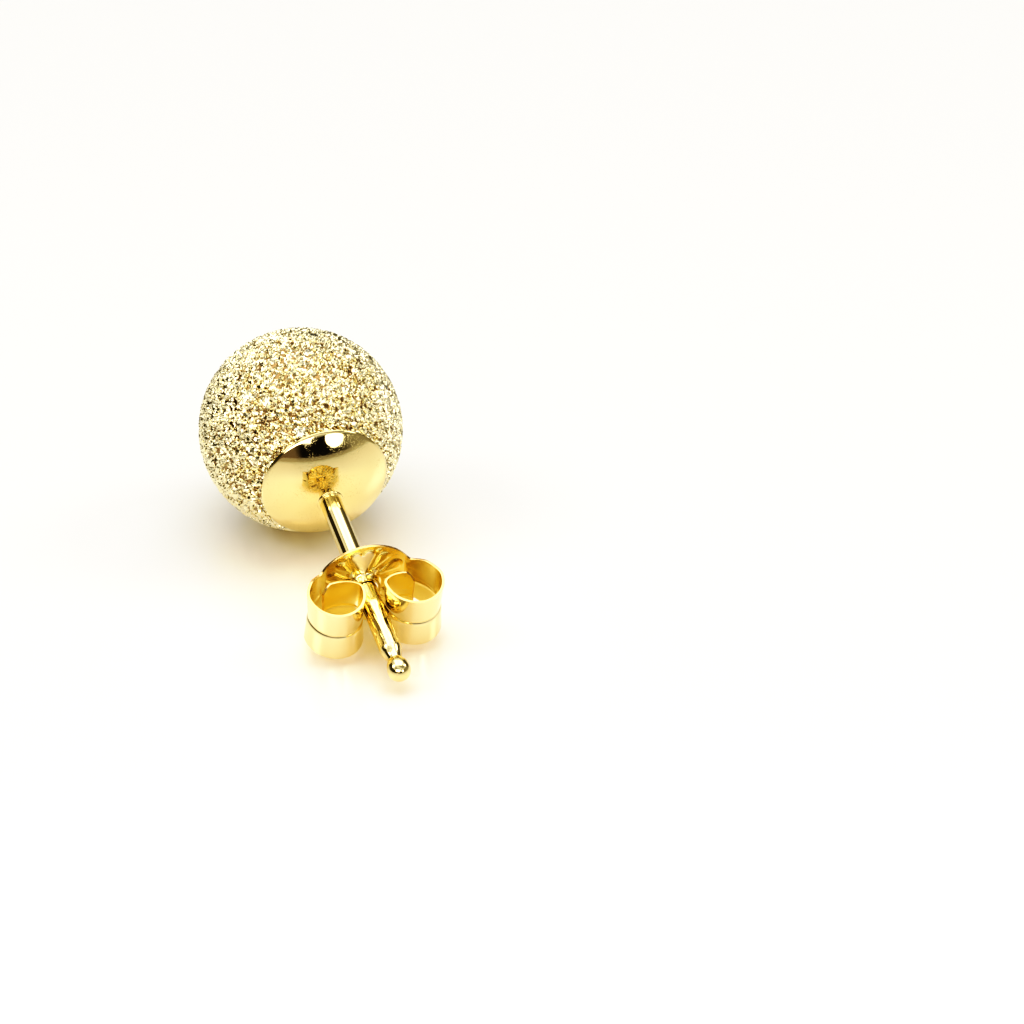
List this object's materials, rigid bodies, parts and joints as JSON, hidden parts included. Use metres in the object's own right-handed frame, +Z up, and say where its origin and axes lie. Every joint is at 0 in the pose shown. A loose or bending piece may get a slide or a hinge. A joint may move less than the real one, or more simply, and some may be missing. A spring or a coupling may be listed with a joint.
{
  "type": "ball stud earring",
  "caption": "Gold ball stud earring with a stippled hollow ball, a polished cap on a round notched post, and a stamped butterfly back that slides on the post.",
  "frame": {"origin": "on the surface that the stud lies on, under the middle of its bounding box", "axes": "+Z up from the surface; +Y towards the front of the ball, so that the post points along -Y and droops; X across the two scrolls of the butterfly back"},
  "size_m": [0.008, 0.0174, 0.008],
  "materials": {
    "stippled_gold": "pale yellow gold, laser-stippled all over into tiny bright facets and pits",
    "polished_gold": "pale yellow gold, mirror polished with fine wear marks",
    "stamped_gold": "yellow gold sheet, bright stamped and lightly polished"
  },
  "bodies": {
    "stud": {"ball": "stippled_gold", "cap_and_post": "polished_gold"},
    "back": {"butterfly_back": "stamped_gold"}
  },
  "joints": [
    {"name": "back_slide", "type": "slide", "parent": "stud", "child": "back", "axis": [0, -0.971, -0.2391], "range_m": [-0.0042, 0.0051]}
  ]
}
